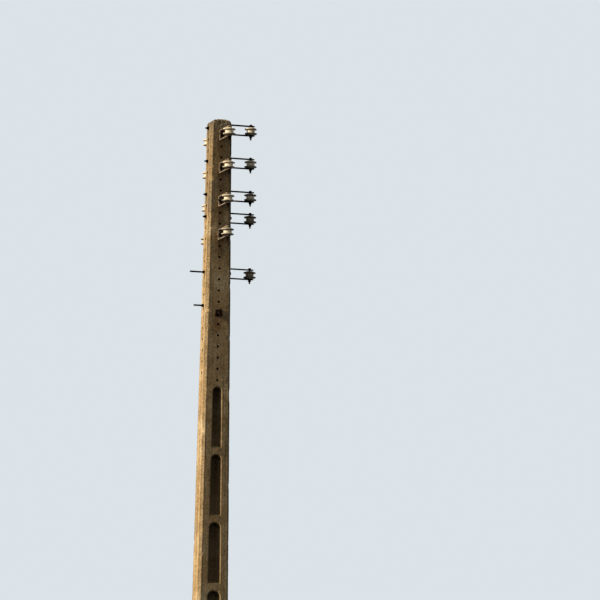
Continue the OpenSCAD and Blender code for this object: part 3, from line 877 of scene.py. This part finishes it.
# Where a washer seats on the narrow face, which leans: against it at the washer's lower edge
def washerSeat(z):
    return halfWidth(z - bolt["washer"] / 2)


for i in range(rightCount):
    lo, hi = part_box(f"side_bolt_{i + 1}")
    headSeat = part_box(f"right_bracket_{i + 1}")[0].x + bar["thickness"]
    makeThroughBolt(f"sideBolt{i + 1}", f"side_bolt_{i + 1}", "-X", headSeat, washerSeat((lo.z + hi.z) / 2))
for i in range(faceCount):
    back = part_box(f"back_bracket_{i + 1}")[0].y + bar["thickness"]
    makeThroughBolt(f"faceBolt{i + 1}", f"face_bolt_{i + 1}", "+Y", back, back)
lo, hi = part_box("spare_bolt")
spareSeat = washerSeat((lo.z + hi.z) / 2)
makeThroughBolt("spareBolt", "spare_bolt", "-X", spareSeat, spareSeat)
makeEye("eyeBolt", "eye_bolt", -quarterTurn, True)
makeEye("eyeNut", "eye_nut", quarterTurn, False)
print("bolts and eyes made")


# Pale floor and backdrop, a low warm key from the left that grazes the front, a fill from behind right
studio = dict(
    floorSize=60.0, floorColour="#C2C3C4", floorBounce="#3A3732", floorRoughness=0.9,
    backdrop="#DCE3E8", ambient=0.19, ambientColour="#E6EEF8",
    keyPower=5.5, keyColour="#FFF1DE", keyHeight=23, keyTurn=-2.4, keySoftness=3,
    fillPower=1.4, fillColour="#FFFFFF", fillTurn=118, fillHeight=30, fillSoftness=30,
)
# The camera as fitted to the photo, in metres and degrees, with its focal length and frame in pixels
view = dict(
    distance=33.44, eyeHeight=1.596, azimuth=16.72, panned=1.2812, tilt=7.502, roll=0.9554,
    focal=3790.5, frameWidth=600, sensor=36.0, farthest=200,      # the sensor in millimetres
)


def makeStudio():
    s = studio
    bm = bmesh.new()
    bmesh.ops.create_grid(bm, x_segments=1, y_segments=1, size=s["floorSize"] / 2)
    floor = linkPlain("floor", bm)
    material, tree, shader = newMaterial("paleFloor")
    sight = addNode(tree, "LightPath")
    tone = addNode(tree, "MixRGB", {"Color1": srgb(s["floorColour"]), "Color2": srgb(s["floorBounce"])},
                   {"Fac": sight.outputs["Is Diffuse Ray"]})      # keeps the floor's light off the pole
    tree.links.new(tone.outputs["Color"], shader.inputs["Base Color"])
    shader.inputs["Roughness"].default_value = s["floorRoughness"]
    floor.data.materials.append(material)
    for name in ("key", "fill"):
        lamp = bpy.data.lights.new(name, "SUN")
        lamp.energy, lamp.color = s[name + "Power"], srgb(s[name + "Colour"])[:3]
        lamp.angle = math.radians(s[name + "Softness"])
        holder = bpy.data.objects.new(name, lamp)
        scene.collection.objects.link(holder)
        turn, height = math.radians(s[name + "Turn"]), math.radians(s[name + "Height"])
        toLight = Vector((-math.cos(turn) * math.cos(height), math.sin(turn) * math.cos(height),
                          math.sin(height)))
        holder.rotation_euler = toLight.to_track_quat("Z", "Y").to_euler()
    world = bpy.data.worlds.new("studio")
    scene.world = world
    world.use_nodes = True
    tree = world.node_tree
    tree.nodes.clear()
    path = addNode(tree, "LightPath")
    seen = addNode(tree, "Math", links={0: path.outputs["Is Camera Ray"], 1: path.outputs["Is Glossy Ray"]},
                   operation="ADD", use_clamp=True)
    seen = addNode(tree, "Math", links={0: seen.outputs["Value"], 1: path.outputs["Is Transmission Ray"]},
                   operation="ADD", use_clamp=True)
    dim = addNode(tree, "Background", {"Color": srgb(s["ambientColour"]), "Strength": s["ambient"]})
    pale = addNode(tree, "Background", {"Color": srgb(s["backdrop"]), "Strength": 1.0})
    mix = addNode(tree, "MixShader", links={0: seen.outputs["Value"], 1: dim.outputs["Background"],
                                            2: pale.outputs["Background"]})
    addNode(tree, "OutputWorld", links={"Surface": mix.outputs["Shader"]})


def makeCamera():
    s = view
    data = bpy.data.cameras.new("camera")
    data.sensor_width = s["sensor"]
    data.lens = s["focal"] / s["frameWidth"] * s["sensor"]
    data.clip_end = s["farthest"]
    camera = bpy.data.objects.new("camera", data)
    scene.collection.objects.link(camera)
    azimuth, panned, tilt, roll = (math.radians(s[k]) for k in ("azimuth", "panned", "tilt", "roll"))
    heading = azimuth + panned
    ahead = Vector((math.sin(heading) * math.cos(tilt), math.cos(heading) * math.cos(tilt), math.sin(tilt)))
    level = Vector((math.cos(heading), -math.sin(heading), 0))
    upward = level.cross(ahead)
    right = level * math.cos(roll) + upward * math.sin(roll)
    top = upward * math.cos(roll) - level * math.sin(roll)
    turned = Matrix((right, top, -ahead)).transposed().to_4x4()
    spot = Vector((-s["distance"] * math.sin(azimuth), -s["distance"] * math.cos(azimuth), s["eyeHeight"]))
    camera.matrix_world = Matrix.Translation(spot) @ turned
    scene.camera = camera


makeStudio()
makeCamera()
scene.view_settings.view_transform = "Standard"
print("studio and camera set")
